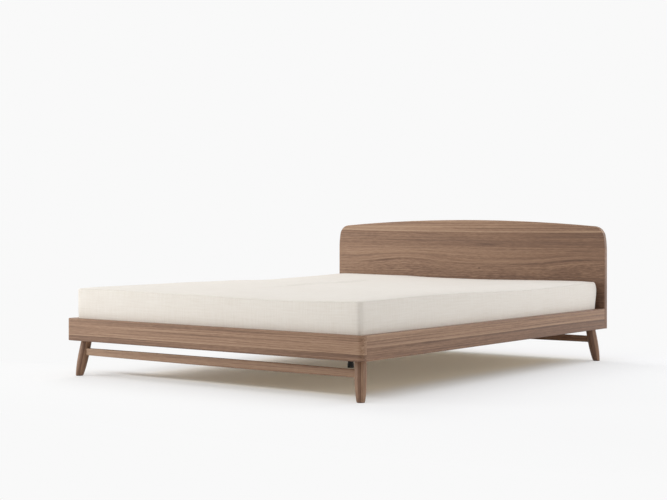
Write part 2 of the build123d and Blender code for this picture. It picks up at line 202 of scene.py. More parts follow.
def bump(tree, shader, height, strength, distance):
    node = add_node(tree, "ShaderNodeBump", {"Strength": strength, "Distance": distance, "Height": height})
    feed(tree, shader, {"Normal": node.outputs["Normal"]})


# ---------------------------------------------------------------- walnut
WALNUT_DARK = (0.105, 0.052, 0.031)
WALNUT_DEEP = (0.203, 0.111, 0.065)
WALNUT_MID = (0.323, 0.194, 0.119)
WALNUT_LIGHT = (0.430, 0.283, 0.184)
WALNUT_PALE = (0.532, 0.380, 0.264)
WALNUT_TONES = [
    (0.0, WALNUT_DARK), (0.27, WALNUT_DEEP), (0.5, WALNUT_MID), (0.74, WALNUT_LIGHT), (1.0, WALNUT_PALE),
]

GRAIN_TURN = {
    "x": (0.0, 0.0, 0.0),
    "y": (0.0, 0.0, -math.pi / 2),
    "z": (0.0, math.pi / 2, 0.0),
}
# painted shade on the legs: the dark line down each leg's middle is turned to be seen edge on from the bed's
# right foot corner, where the camera stands
PAINTED_SHADE_TURN = math.radians(53.0)

# Layers of streaks: repeats a metre along and across the grain, detail, roughness, seed step.
GRAIN_LAYERS = {
    "bands": (0.7, 22.0, 2.0, 0.5, 0.0),
    "stripes": (0.9, 185.0, 3.0, 0.7, 7.3),
    "hairs": (5.0, 520.0, 3.0, 0.7, 3.1),
    "wisps": (2.3, 60.0, 3.0, 0.6, 5.9),
    "dashes": (28.0, 230.0, 3.0, 0.6, 1.7),
}
DEPTH_SCALE = 0.6           # repeats through the board, as a share of those across it
DRIFT_SCALES = (1.1, 3.0, 1.0)
DRIFT_SEED_STEP = 3.7
PORE_SCALES = (85.0, 1700.0, 1700.0)
NOISE_SPAN = (0.25, 0.75)   # most of a noise's values lie between these
WISP_SPAN = (0.16, 0.34)
PORE_SPAN = (0.66, 0.74)

# what each layer adds to the tone; the stripes' share is each board's own
BAND_SHARE = 0.10
HAIR_SHARE = 0.18
WISP_SHARE = -0.11
DASH_SHARE = 0.18
PORE_SHARE = 0.45
SPOT_BODY, SPOT_RAGGED = 0.8, 0.9

# a board glued up from two: the joint, and how the grain differs on its two sides
GLUE_HALF = 0.0004
SECOND_BOARD_SHIFT = 0.37
LOWER_CONTRAST, UPPER_CONTRAST = 0.75, 1.6
FLECKS_START, FLECKS_FULL = 0.150, 0.190
FLECKS_FEW, FLECKS_MANY = 0.22, 0.42

WALNUT_ROUGHNESS = (0.44, 0.60)
PORE_RELIEF, HAIR_RELIEF, STRIPE_RELIEF = -0.8, 0.35, 0.4


def wood_axes(tree, grain, place):
    """Distances along, across and through a board; place is the shift and turn that stand it upright."""
    coordinates = object_coordinates(tree)
    if place is not None:
        shift, turn = place
        coordinates = mapping(tree, coordinates, shift, turn)
    turned = mapping(tree, coordinates, rotation=GRAIN_TURN[grain])
    if grain == "z":
        return separate(tree, mapping(tree, turned, rotation=(PAINTED_SHADE_TURN, 0.0, 0.0)))
    along, through, across = separate(tree, turned)
    return along, across, through


def grain_height(tree, along, across, seed, wander, waves):
    """The height across a board that its grain follows, after its drift and its waves."""
    drift = stretched_noise(tree, (along, across, 0.0), DRIFT_SCALES, detail=2.0, roughness=0.4,
                            shifts=(seed * DRIFT_SEED_STEP, 0.0, seed))
    height = add(tree, across, remap(tree, drift, *NOISE_SPAN, -wander, wander))
    for middle, reach, stops in waves:
        rise = times(tree, curve(tree, along, stops), hump(tree, across, middle, reach))
        height = minus(tree, height, rise)
    return height


def walnut(name, grain, seed, figure, heights, wander=0.003, place=None, waves=(), spots=(),
           glue_line=None, fall=None, pinstripes=0.45, shade=0.0):
    """Oiled walnut with its grain along one axis.

    figure gives (share, tone) stops across the board, between its two heights, where a
    tone of 0.5 is the mid brown, less is darker and more is paler. waves bend the grain
    round a height: (middle, reach, stops along the board). spots are wisps, and patches of
    painted shade: (along, height, half length, half width, tone). Above glue_line another
    board begins. fall is a tone curve along the board, of painted light and shade, and
    shade is painted shade over the whole piece.
    """
    made, tree, shader = new_material(name)
    along, across, through = wood_axes(tree, grain, place)
    height = grain_height(tree, along, across, seed, wander, waves)
    depth, contrast, dash_share = through, pinstripes, DASH_SHARE
    if glue_line is not None:
        above = remap(tree, height, glue_line - GLUE_HALF, glue_line + GLUE_HALF)
        depth = add(tree, through, above, SECOND_BOARD_SHIFT)
        contrast = remap(tree, above, 0.0, 1.0, LOWER_CONTRAST * pinstripes, UPPER_CONTRAST * pinstripes)
        dash_share = remap(tree, height, glue_line - FLECKS_START, glue_line - FLECKS_FULL,
                           FLECKS_FEW, FLECKS_MANY)

    def streaks(layer):
        """Noise drawn out along the grain, from about -0.5 to 0.5."""
        length_scale, width_scale, detail, roughness, step = GRAIN_LAYERS[layer]
        scales = (length_scale, width_scale, width_scale * DEPTH_SCALE)
        value = stretched_noise(tree, (along, height, depth), scales, detail, roughness,
                                shifts=(seed + step, 0.0, seed + step))
        return remap(tree, value, *NOISE_SPAN, -0.5, 0.5)

    stripes, hairs = streaks("stripes"), streaks("hairs")
    wisps = remap(tree, streaks("wisps"), *WISP_SPAN)
    tone = ramp(tree, remap(tree, height, *heights), figure)
    for layer, share in ((streaks("bands"), BAND_SHARE), (stripes, contrast), (hairs, HAIR_SHARE),
                         (wisps, WISP_SHARE), (streaks("dashes"), dash_share)):
        tone = add(tree, tone, layer, share)
    for spot_along, spot_height, half_length, half_width, change in spots:
        there = times(tree, hump(tree, along, spot_along, half_length),
                      hump(tree, height, spot_height, half_width))
        ragged = add(tree, SPOT_BODY, stripes, SPOT_RAGGED)
        tone = add(tree, tone, times(tree, there, ragged), change)
    if fall is not None:
        tone = add(tree, tone, curve(tree, along, fall))
    colour = ramp(tree, add(tree, tone, shade), WALNUT_TONES)

    pores = stretched_noise(tree, (along, height, through), PORE_SCALES, detail=1.0, roughness=0.5)
    pores = remap(tree, pores, *PORE_SPAN)
    feed(tree, shader, {
        "Base Color": mix_colour(tree, times(tree, pores, PORE_SHARE), colour, WALNUT_DARK),
        "Roughness": remap(tree, stripes, -0.5, 0.5, *WALNUT_ROUGHNESS),
        "Specular IOR Level": 0.35,
    })
    relief = add(tree, times(tree, pores, PORE_RELIEF), hairs, HAIR_RELIEF)
    bump(tree, shader, add(tree, relief, stripes, STRIPE_RELIEF), strength=0.35, distance=0.0004)
    return made


def heights_of(node):
    """Lowest and highest place of a node."""
    low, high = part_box(node)
    return low[2], high[2]


rail_heights = heights_of("foot_rail")
stretcher_heights = heights_of("stretcher_foot")
board_low, board_high = heights_of("headboard")

# The headboard is glued up from a paler top board over darker ones, above whose lower
# edge the grain runs in a long wave. Its bands are given by height.
GLUE_LINE = 0.647
GRAIN_WAVE = 0.493
HEADBOARD_BANDS = [
    (board_low, 0.40), (0.400, 0.44), (0.440, 0.43), (0.476, 0.46), (0.484, 0.42), (0.490, 0.40),
    (GRAIN_WAVE, 0.56), (0.500, 0.50), (0.520, 0.46), (0.545, 0.52), (0.556, 0.50), (0.575, 0.40),
    (0.610, 0.43), (0.640, 0.36), (GLUE_LINE - 0.0005, 0.33), (GLUE_LINE + 0.0005, 0.82), (0.652, 0.78),
    (0.659, 0.56), (board_high, 0.57),
]
HEADBOARD_FIGURE = [
    ((height - board_low) / (board_high - board_low), tone) for height, tone in HEADBOARD_BANDS
]
HEADBOARD_WAVES = [
    (GRAIN_WAVE, 0.075, [
        (-0.82, -0.012), (-0.68, -0.011), (-0.39, 0.013), (-0.15, -0.002), (0.10, -0.015), (0.49, -0.003),
        (0.64, 0.015), (0.82, 0.022),
    ]),
    (GLUE_LINE, 0.080, [(-0.82, 0.006), (-0.74, 0.005), (0.04, -0.002), (0.25, -0.003), (0.82, 0.0)]),
]
# wisps in the grain; the last, at the right end beside the mattress, is painted shade where the mattress
# shades the headboard
HEADBOARD_WISPS_AND_SHADE = [
    (-0.52, 0.484, 0.20, 0.009, -0.26), (-0.30, 0.485, 0.14, 0.008, -0.16), (0.02, 0.486, 0.16, 0.008, -0.12),
    (0.42, 0.485, 0.18, 0.008, -0.20), (0.66, 0.486, 0.20, 0.010, -0.26), (0.14, 0.582, 0.11, 0.010, -0.22),
    (-0.33, 0.600, 0.22, 0.009, -0.14), (0.62, 0.432, 0.13, 0.022, -0.08), (0.10, 0.462, 0.010, 0.008, -0.45),
    (0.55, 0.625, 0.25, 0.012, -0.10), (0.83, 0.330, 0.09, 0.11, -0.20),
]
# painted shade: the headboard darkens towards its right end, away from the lamps on the left
HEADBOARD_SHADE_FALL = [(-0.82, -0.03), (-0.30, -0.06), (0.20, -0.12), (0.82, -0.19)]
FOOT_RAIL_FIGURE = [
    (0.00, 0.24), (0.20, 0.28), (0.245, 0.24), (0.265, 0.62), (0.30, 0.56), (0.34, 0.45), (0.48, 0.50),
    (0.60, 0.40), (0.72, 0.50), (0.85, 0.40), (1.0, 0.40),
]
SIDE_RAIL_FIGURE = [
    (0.00, 0.31), (0.15, 0.27), (0.35, 0.31), (0.46, 0.24), (0.49, 0.26), (0.512, 0.64), (0.56, 0.60),
    (0.62, 0.44), (0.80, 0.48), (1.0, 0.42),
]
# painted shade: the side rails darken towards the head end
SIDE_RAIL_SHADE_FALL = [(-1.06, 0.02), (0.0, -0.07), (1.06, -0.16)]
STRETCHER_FIGURE = [(0.0, 0.40), (0.3, 0.54), (0.55, 0.44), (0.8, 0.56), (1.0, 0.50)]
# painted light and shade: the foot stretcher is lighter at its left end and darker at its right
STRETCHER_SHADE_FALL = [(-0.80, 0.17), (-0.30, 0.08), (0.25, -0.03), (0.80, -0.09)]
STRETCHER_WANDER = 0.006
# painted shade across each leg: darker towards the dark middle line on one half, lighter on the other
LEG_FIGURE_PAINTED_SHADE = [
    (0.0, 0.42), (0.22, 0.34), (0.34, 0.24), (0.46, 0.22), (0.49, 0.06), (0.505, 0.08), (0.53, 0.42),
    (0.70, 0.46), (1.0, 0.46),
]
# painted shade: the legs and the head stretcher are darkened where they stand in shade under the bed
LEG_PAINTED_SHADE = {"leg_rear_right": -0.14, "leg_front_right": -0.05, "leg_front_left": -0.04}
HEAD_STRETCHER_PAINTED_SHADE = -0.16

side_walnut = walnut("walnut_side_rail", grain="y", seed=4.1, figure=SIDE_RAIL_FIGURE, heights=rail_heights,
                     pinstripes=0.48, fall=SIDE_RAIL_SHADE_FALL)
walnut_by_node = {
    "headboard": walnut("walnut_headboard", grain="x", seed=1.0, figure=HEADBOARD_FIGURE,
                        heights=(board_low, board_high), wander=0.002, waves=HEADBOARD_WAVES,
                        spots=HEADBOARD_WISPS_AND_SHADE, glue_line=GLUE_LINE, fall=HEADBOARD_SHADE_FALL),
    "foot_rail": walnut("walnut_foot_rail", grain="x", seed=2.3, figure=FOOT_RAIL_FIGURE,
                        heights=rail_heights, pinstripes=0.52),
    "side_rail_left": side_walnut,
    "side_rail_right": side_walnut,
    "stretcher_foot": walnut("walnut_stretcher", grain="x", seed=6.2, figure=STRETCHER_FIGURE,
                             heights=stretcher_heights, wander=STRETCHER_WANDER, fall=STRETCHER_SHADE_FALL),
    "stretcher_head": walnut("walnut_head_stretcher", grain="x", seed=7.7, figure=STRETCHER_FIGURE,
                             heights=stretcher_heights, wander=STRETCHER_WANDER, shade=HEAD_STRETCHER_PAINTED_SHADE),
}

LEG_FOOT_SLICE = 0.006
LEG_TOP_SLICE = 0.02
LEG_HALF = 0.024
FIRST_LEG_SEED = 8.4


def middle_of(places):
    """The middle of the box round some points."""
    return Vector([(min(p[axis] for p in places) + max(p[axis] for p in places)) / 2 for axis in range(3)])


def leg_walnut(node, seed):
    """A leg with the grain running down its splay, and painted shade across it: a dark line down its middle.
    """
    places = [Vector(vertex.co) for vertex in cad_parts[node].data.vertices]
    low, high = heights_of(node)
    foot = middle_of([place for place in places if place.z < low + LEG_FOOT_SLICE])
    top = middle_of([place for place in places if place.z > high - LEG_TOP_SLICE])
    turn = (top - foot).normalized().rotation_difference(Vector((0, 0, 1)))
    shift = -(turn @ ((foot + top) / 2))
    return walnut(f"walnut_{node}", "z", seed, LEG_FIGURE_PAINTED_SHADE, heights=(-LEG_HALF, LEG_HALF), wander=0.001,
                  place=(shift, turn.to_euler()), pinstripes=0.30, shade=LEG_PAINTED_SHADE.get(node, 0.0))


legs = sorted(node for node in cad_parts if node.startswith("leg_") and "glide" not in node)
for count, node in enumerate(legs):
    walnut_by_node[node] = leg_walnut(node, FIRST_LEG_SEED + count)


# ---------------------------------------------------------------- other finishes
SOFTWOOD_TONES = [(0.3, (0.46, 0.27, 0.13)), (0.55, (0.66, 0.45, 0.26)), (0.9, (0.78, 0.60, 0.39))]
RING_SCALES, RING_SHARE = (0.8, 45.0, 45.0), 0.9
LINE_SCALES, LINE_SHARE = (5.0, 500.0, 500.0), 0.3
ROUGHNESS_SPREAD = 0.06


def softwood(name, grain, seed):
    """Planed pale softwood for the pieces under the mattress."""
    made, tree, shader = new_material(name)
    turned = mapping(tree, object_coordinates(tree), rotation=GRAIN_TURN[grain])
    places = separate(tree, mapping(tree, turned, location=(seed, 0.0, 0.0)))
    rings = stretched_noise(tree, places, RING_SCALES, detail=3.0, roughness=0.5)
    lines = stretched_noise(tree, places, LINE_SCALES, detail=3.0, roughness=0.6)
    tone = add(tree, times(tree, rings, RING_SHARE), lines, LINE_SHARE)
    feed(tree, shader, {"Base Color": ramp(tree, tone, SOFTWOOD_TONES), "Roughness": 0.62})
    bump(tree, shader, lines, strength=0.25, distance=0.0003)
    return made


def speckled(name, colour, spread, roughness, scale, strength, metallic=0.0):
    """A fine-grained coat: moulded plastic, powder coat or plated steel."""
    made, tree, shader = new_material(name)
    grain = noise_value(tree, object_coordinates(tree), scale, detail=3.0, roughness=0.6)
    darker = tuple(channel * (1 - spread) for channel in colour)
    lighter = tuple(min(1.0, channel * (1 + spread)) for channel in colour)
    feed(tree, shader, {
        "Base Color": ramp(tree, grain, [(0.3, darker), (0.7, lighter)]),
        "Roughness": remap(tree, grain, 0.3, 0.7, roughness - ROUGHNESS_SPREAD, roughness + ROUGHNESS_SPREAD),
        "Metallic": metallic,
    })
    bump(tree, shader, grain, strength, distance=0.0002)
    return made


softwood_x = softwood("softwood_across", grain="x", seed=0.4)
softwood_y = softwood("softwood_along", grain="y", seed=1.9)
softwood_z = softwood("softwood_upright", grain="z", seed=3.3)
black_steel = speckled("black_powder_coat", (0.018, 0.018, 0.019), spread=0.25, roughness=0.45,
                       scale=900.0, strength=0.25)
black_plastic = speckled("black_plastic", (0.020, 0.020, 0.020), spread=0.2, roughness=0.6,
                         scale=600.0, strength=0.2)
brown_plastic = speckled("brown_glide_plastic", (0.060, 0.040, 0.030), spread=0.2, roughness=0.6,
                         scale=600.0, strength=0.2)
zinc = speckled("zinc_plate", (0.56, 0.56, 0.54), spread=0.12, roughness=0.36,
                scale=350.0, strength=0.1, metallic=1.0)
black_oxide = speckled("black_oxide", (0.045, 0.045, 0.048), spread=0.2, roughness=0.38,
                       scale=500.0, strength=0.1, metallic=0.8)

# by the start of a piece's name; screws and whatever isn't listed are zinc plated
FINISHES = {
    "slat_": softwood_x, "cleat_": softwood_x,
    "ledger_": softwood_y, "centre_beam": softwood_y, "rail_dowels": softwood_y,
    "corner_block": softwood_z,
    "beam_hanger": black_steel, "centre_leg_tube": black_steel, "centre_leg_plate": black_steel,
    "centre_leg_insert": black_plastic, "levelling_pad": black_plastic,
    "leg_glide": brown_plastic,
    "headboard_bolts": black_oxide,
}


def finish_for(node):
    """The finish of a CAD piece, by what it is."""
    if node in walnut_by_node:
        return walnut_by_node[node]
    if node.endswith("_screws"):
        return zinc
    return next((finish for start, finish in FINISHES.items() if node.startswith(start)), zinc)


for name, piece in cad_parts.items():
    if name in MATTRESS_NODES:
        continue
    piece.data.materials.clear()
    piece.data.materials.append(finish_for(name))


# ---------------------------------------------------------------- linen
LINEN_TONES = [(0.25, (0.680, 0.611, 0.523)), (0.5, (0.796, 0.748, 0.678)), (0.75, (0.868, 0.834, 0.780))]
THREAD_TONES = [(0.3, (0.62, 0.55, 0.46)), (0.7, (0.76, 0.70, 0.61))]
THREADS_A_METRE = 620
SLUB_SCALES = (9.0, 160.0, 1.0)
LINEN_BASE, WEAVE_SHARE, SLUB_SHARE, PATCH_SHARE = 0.22, 0.05, 0.28, 0.10
WEAVE_RELIEF, SLUB_RELIEF = 0.3, 1.4


def linen():
    """Natural linen: a plain weave of uneven threads, drawn on the cover's own UV map."""
    made, tree, shader = new_material("natural_linen")
    u, v, _ = separate(tree, add_node(tree, "ShaderNodeUVMap", uv_map="cloth").outputs["UV"])

    def uneven(lengthwise, crosswise, seed):
        """Slubs: long soft streaks along one set of threads."""
        return stretched_noise(tree, (lengthwise, crosswise, 0.0), SLUB_SCALES, detail=4.0, roughness=0.65,
                               shifts=(0.0, 0.0, seed))

    def threads(crosswise):
        return math_node(tree, "SINE", times(tree, crosswise, 2 * math.pi * THREADS_A_METRE))

    slubs = add(tree, uneven(u, v, seed=1.0), uneven(v, u, seed=5.0))
    weave = times(tree, threads(u), threads(v))
    patches = noise_value(tree, combine(tree, u, v, 0.0), scale=3.0, detail=3.0, roughness=0.5)
    tone = add(tree, add(tree, LINEN_BASE, slubs, SLUB_SHARE), weave, WEAVE_SHARE)
    tone = add(tree, tone, minus(tree, patches, 0.5), PATCH_SHARE)
    feed(tree, shader, {
        "Base Color": ramp(tree, tone, LINEN_TONES),
        "Roughness": 0.92,
        "Specular IOR Level": 0.15,
        "Sheen Weight": 0.12,
        "Sheen Roughness": 0.6,
    })
    relief = add(tree, times(tree, slubs, SLUB_RELIEF), weave, WEAVE_RELIEF)
    bump(tree, shader, relief, strength=0.35, distance=0.0006)
    return made


def seam_thread():
    """Sewing thread, a little darker than the linen."""
    made, tree, shader = new_material("seam_thread")
    grain = noise_value(tree, object_coordinates(tree), scale=700.0, detail=2.0, roughness=0.6)
    feed(tree, shader, {"Base Color": ramp(tree, grain, THREAD_TONES), "Roughness": 0.85})
    return made


LINEN = linen()
THREAD = seam_thread()


# ---------------------------------------------------------------- mattress
# The cover is a box of four side bands and two panels sewn together. It is stuffed by a
# cloth simulation with its seams held, and then settled on the slats.
CORNER_RADIUS = 0.022
RIM_RADIUS = 0.008
RIM_MIDDLE = RIM_RADIUS * (1 - math.sqrt(0.5))
ROUND_SEGMENTS = 4
CELL = 0.022
SAME_PLACE = 1e-5
FLAT, MOSTLY_FLAT, UPRIGHT = 0.9, 0.7, 0.1   # by the height of a face's normal
SEAM_NEAR = 1e-3
SEAM_DEPTH = 0.0016
RAIL_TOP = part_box("foot_rail")[1][2]
cover_low = Vector(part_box("mattress_cover")[0])
cover_high = Vector(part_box("mattress_cover")[1])
cover_middle = (cover_low + cover_high) / 2
cover_half = (cover_high - cover_low) / 2
# the sewn box, from which the stuffing and the rails shape the cover
box_low = cover_low + Vector((-0.003, -0.003, 0.001))
box_high = cover_high + Vector((0.003, 0.000, -0.006))

STUFFING = {
    "quality": 6, "mass": 0.02, "tension_stiffness": 30, "compression_stiffness": 30,
    "shear_stiffness": 15, "bending_stiffness": 6, "use_pressure": True, "uniform_pressure_force": 4,
}
STUFFING_FRAMES = 20
STUFFING_CAP = 0.007
SIDE_SWELL = 0.6

# Heights of the rim seam as the mattress lies, along each side of the bed.
FOOT_EDGE = [
    (-0.80, 0.4000), (-0.67, 0.4025), (-0.50, 0.4015), (-0.40, 0.3995), (-0.28, 0.3965), (0.00, 0.3940),
    (0.12, 0.3905), (0.36, 0.3865), (0.50, 0.3870), (0.69, 0.3900), (0.80, 0.3930),
]
RIGHT_EDGE = [
    (-1.02, 0.3930), (-0.85, 0.3950), (-0.54, 0.3980), (-0.28, 0.3960), (-0.10, 0.3930), (0.05, 0.3895),
    (0.30, 0.3870), (0.50, 0.3880), (0.75, 0.3915), (1.00, 0.3950),
]
LEFT_EDGE = [
    (-1.02, 0.3955), (-0.80, 0.3945), (-0.60, 0.3940), (-0.35, 0.3945), (-0.18, 0.3925), (0.00, 0.3920),
    (0.25, 0.3862), (0.50, 0.3900), (0.75, 0.3950), (1.00, 0.4000),
]
HEAD_EDGE = [
    (-0.80, 0.4000), (-0.65, 0.3995), (-0.45, 0.3970), (-0.32, 0.3960), (-0.18, 0.3910), (-0.05, 0.3887),
    (0.20, 0.3873), (0.50, 0.3912), (0.80, 0.3930),
]

# a shallow crease runs up the middle of the top, and drifts to the left on its way
CREASE_FOOT_X, CREASE_SHIFT = -0.130, -0.140
CREASE_TURN = (-0.48, 0.18)
CREASE_RIPPLE, CREASE_RIPPLES = 0.004, 11
CREASE_WIDTH = 0.0145
CREASE_DEPTH = 0.0125
CREASE_START = (-0.62, -0.15)
CREASE_END = (0.40, 0.75)
# the left foot corner is pushed out over the rails
CORNER_PUSH = 0.002
CORNER_REACH = 0.30
CORNER_RISE = 0.03
# the head end leans in at its foot and rounds over at its top
HEAD_REACH = 0.12
HEAD_STAND = -0.006
HEAD_FOOT_LEAN, HEAD_FOOT_TOP = 0.019, 0.345
HEAD_TOP_LEAN, HEAD_TOP_SPAN = 0.018, (0.358, 0.388)
# between the rails the cloth is held in, most at its underside, and above them it swells over
TUCK = -0.0022
TUCK_UNDER = 0.004
UNDERSIDE = 0.02
HOLD_RISE = 0.036
SLAT_GAP = 0.0002


def smooth(value, low, high):
    """0 below low, 1 above high, with a soft step between."""
    share = min(1.0, max(0.0, (value - low) / (high - low)))
    return share * share * (3 - 2 * share)


def profile(stops, place):
    """A smooth curve through (place, value) stops, level at its ends."""
    place = min(stops[-1][0], max(stops[0][0], place))
    after = next(index for index in range(1, len(stops)) if place <= stops[index][0])
    (a, first), (b, second) = stops[after - 1], stops[after]
    slopes = [0.0, 0.0]
    for side, index in enumerate((after - 1, after)):
        if 0 < index < len(stops) - 1:
            (back, low), (ahead, high) = stops[index - 1], stops[index + 1]
            slopes[side] = (high - low) / (ahead - back)
    width = b - a
    share, rest = (place - a) / width, (b - place) / width
    return (rest * rest * ((1 + 2 * share) * first + share * width * slopes[0])
            + share * share * ((1 + 2 * rest) * second - rest * width * slopes[1]))


def rim_height(x, y):
    """Where the rim seams lie, and between them the height that they would blend to."""
    u = min(1.0, max(0.0, (x - cover_low.x) / (2 * cover_half.x)))
    v = min(1.0, max(0.0, (y - cover_low.y) / (2 * cover_half.y)))
    foot, head = profile(FOOT_EDGE, x), profile(HEAD_EDGE, x)
    left, right = profile(LEFT_EDGE, y), profile(RIGHT_EDGE, y)
    corners = ((1 - u) * (1 - v) * FOOT_EDGE[0][1] + u * (1 - v) * FOOT_EDGE[-1][1]
               + (1 - u) * v * HEAD_EDGE[0][1] + u * v * HEAD_EDGE[-1][1])
    return (1 - v) * foot + v * head + (1 - u) * left + u * right - corners


def round_over(mesh, edges, radius):
    bmesh.ops.bevel(mesh, geom=edges, offset=radius, segments=ROUND_SEGMENTS, profile=0.5, affect="EDGES")


def is_rim(edge):
    """Whether an edge joins a flat panel to an upright band."""
    tilts = [abs(face.normal.z) for face in edge.link_faces]
    return len(tilts) == 2 and max(tilts) > FLAT and min(tilts) < UPRIGHT


def sewn_box():
    """The sewn box before stuffing, cut into cells of about 22 mm."""
    mesh = bmesh.new()
    bmesh.ops.create_cube(mesh, size=1.0)
    bmesh.ops.scale(mesh, vec=box_high - box_low, verts=mesh.verts)
    bmesh.ops.translate(mesh, vec=(box_low + box_high) / 2, verts=mesh.verts)
    upright = [edge for edge in mesh.edges if abs(edge.verts[0].co.z - edge.verts[1].co.z) > RIM_RADIUS]
    round_over(mesh, upright, CORNER_RADIUS)
    mesh.normal_update()
    round_over(mesh, [edge for edge in mesh.edges if is_rim(edge)], RIM_RADIUS)
    for axis, margin in enumerate((CORNER_RADIUS, CORNER_RADIUS, RIM_RADIUS)):
        normal, point = Vector((0, 0, 0)), Vector((0, 0, 0))
        normal[axis] = 1
        start, stop = box_low[axis] + margin, box_high[axis] - margin
        count = round((stop - start) / CELL)
        for step in range(count + 1):
            point[axis] = start + (stop - start) * step / count
            geometry = mesh.verts[:] + mesh.edges[:] + mesh.faces[:]
            bmesh.ops.bisect_plane(mesh, geom=geometry, plane_co=point, plane_no=normal, dist=SAME_PLACE)
    bmesh.ops.remove_doubles(mesh, verts=mesh.verts, dist=SAME_PLACE)
    bmesh.ops.recalc_face_normals(mesh, faces=mesh.faces)
    mesh.normal_update()
    mesh.verts.ensure_lookup_table()
    return mesh


def insets(place):
    """How far a point lies in from the sewn box's x sides, its y sides and its rounded outline."""
    x_in, y_in = (min(place[axis] - box_low[axis], box_high[axis] - place[axis]) for axis in (0, 1))
    side_in = min(x_in, y_in)
    if x_in < CORNER_RADIUS and y_in < CORNER_RADIUS:
        side_in = CORNER_RADIUS - Vector((CORNER_RADIUS - x_in, CORNER_RADIUS - y_in)).length
    return x_in, y_in, side_in


def on_seam(place):
    """Whether a point of the sewn box lies on a rim seam or on a corner seam."""
    x_in, y_in, side_in = insets(place)
    z_in = min(place.z - box_low.z, box_high.z - place.z)
    at_corner = x_in < CORNER_RADIUS and y_in < CORNER_RADIUS and abs(x_in - y_in) < SEAM_NEAR
    if at_corner and z_in > RIM_RADIUS - SEAM_NEAR:
        return True
    return abs(z_in - RIM_MIDDLE) < SEAM_NEAR and abs(side_in - RIM_MIDDLE) < 2 * SEAM_NEAR


def wrap_length(place):
    """Distance round the cover, from the middle of its right side."""
    dx, dy = place.x - cover_middle.x, place.y - cover_middle.y
    half = cover_half
    if abs(dx) / half.x > abs(dy) / half.y:
        return dy if dx > 0 else 3 * half.y + 2 * half.x - dy
    return half.y + half.x - dx if dy > 0 else 4 * half.y + 3 * half.x + dx


def give_cloth_uv(mesh):
    """UV in metres: flat on the panels, wrapped round the side bands."""
    layer = mesh.loops.layers.uv.new("cloth")
    turn = 4 * (cover_half.x + cover_half.y)
    for face in mesh.faces:
        centre = wrap_length(face.calc_center_median())
        for loop in face.loops:
            place = loop.vert.co
            if abs(face.normal.z) > MOSTLY_FLAT:
                loop[layer].uv = (place.x, place.y)
                continue
            along = wrap_length(place)
            if along - centre > turn / 2:
                along -= turn
            elif centre - along > turn / 2:
                along += turn
            loop[layer].uv = (along, place.z)


def stuff(piece, held):
    """Blows the sewn box up with its seams held, and caps how far the cloth moves."""
    before = [vertex.co.copy() for vertex in piece.data.vertices]
    piece.vertex_groups.new(name="seams").add(held, 1.0, "REPLACE")
    cloth = piece.modifiers.new("stuffing", "CLOTH")
    for setting, value in STUFFING.items():
        setattr(cloth.settings, setting, value)
    cloth.settings.vertex_group_mass = "seams"
    cloth.settings.effector_weights.gravity = 0
    cloth.collision_settings.use_collision = False
    for frame_number in range(1, STUFFING_FRAMES + 1):
        scene.frame_set(frame_number)
    swollen = piece.evaluated_get(bpy.context.evaluated_depsgraph_get()).to_mesh()
    moves = [vertex.co - start for vertex, start in zip(swollen.vertices, before)]
    piece.modifiers.remove(cloth)
    scene.frame_set(1)
    for vertex, start, move in zip(piece.data.vertices, before, moves):
        reach = move.length
        if reach > 1e-9:
            move = move * (STUFFING_CAP * math.tanh(reach / STUFFING_CAP) / reach)
        move.x *= SIDE_SWELL
        move.y *= SIDE_SWELL
        vertex.co = start + move


def hold_in(place):
    """Holds a point of the stuffed mattress in between the rails, and above the slats."""
    held = place.copy()
    tuck = TUCK + TUCK_UNDER * (1 - smooth(place.z, cover_low.z, cover_low.z + UNDERSIDE))
    hold = 1 - smooth(place.z, RAIL_TOP, RAIL_TOP + HOLD_RISE)
    for axis in (0, 1):
        inside = min(cover_high[axis] - tuck, max(cover_low[axis] + tuck, place[axis]))
        held[axis] += hold * (inside - place[axis])
    held.z = max(cover_low.z + SLAT_GAP, place.z)
    return held


def settle(place):
    """Lays a point of the stuffed mattress on the slats, between the rails and the headboard."""
    x, y, z = place
    seam = box_high.z - RIM_MIDDLE - SEAM_DEPTH * math.sqrt(0.5)
    line = CREASE_FOOT_X + CREASE_SHIFT * smooth(y, *CREASE_TURN)
    line += CREASE_RIPPLE * math.sin(CREASE_RIPPLES * y)
    crease = math.exp(-((x - line) / CREASE_WIDTH) ** 2)
    crease *= smooth(y, *CREASE_START) * (1 - smooth(y, *CREASE_END))
    lift = rim_height(x, y) - seam - CREASE_DEPTH * crease
    corner = smooth(z, RAIL_TOP, RAIL_TOP + CORNER_RISE)
    corner *= 1 - smooth(x, cover_low.x, cover_low.x + CORNER_REACH)
    corner *= 1 - smooth(y, cover_low.y, cover_low.y + CORNER_REACH)
    x -= CORNER_PUSH * corner
    y -= CORNER_PUSH * corner
    lean = HEAD_STAND + HEAD_FOOT_LEAN * (1 - smooth(z, RAIL_TOP, HEAD_FOOT_TOP))
    lean += HEAD_TOP_LEAN * smooth(z, *HEAD_TOP_SPAN)
    y -= lean * smooth(y, cover_high.y - HEAD_REACH, cover_high.y)
    return Vector((x, y, z + lift * smooth(z, cover_low.z + UNDERSIDE, seam)))


# ---------------------------------------------------------------- stitches
THREAD_WIDTH = 0.0009
THREAD_LIFT = 0.15
STITCH_TILT = 0.06
STITCH_NEAR = 6e-4
# the kind and the value of each input of the stitches' tree
STITCH_INPUTS = {
    "Pitch": ("Float", 0.007), "Stitch Length": ("Float", 0.0046), "Thread Width": ("Float", THREAD_WIDTH),
    "Seed": ("Int", 7), "Thread": ("Material", THREAD),
}


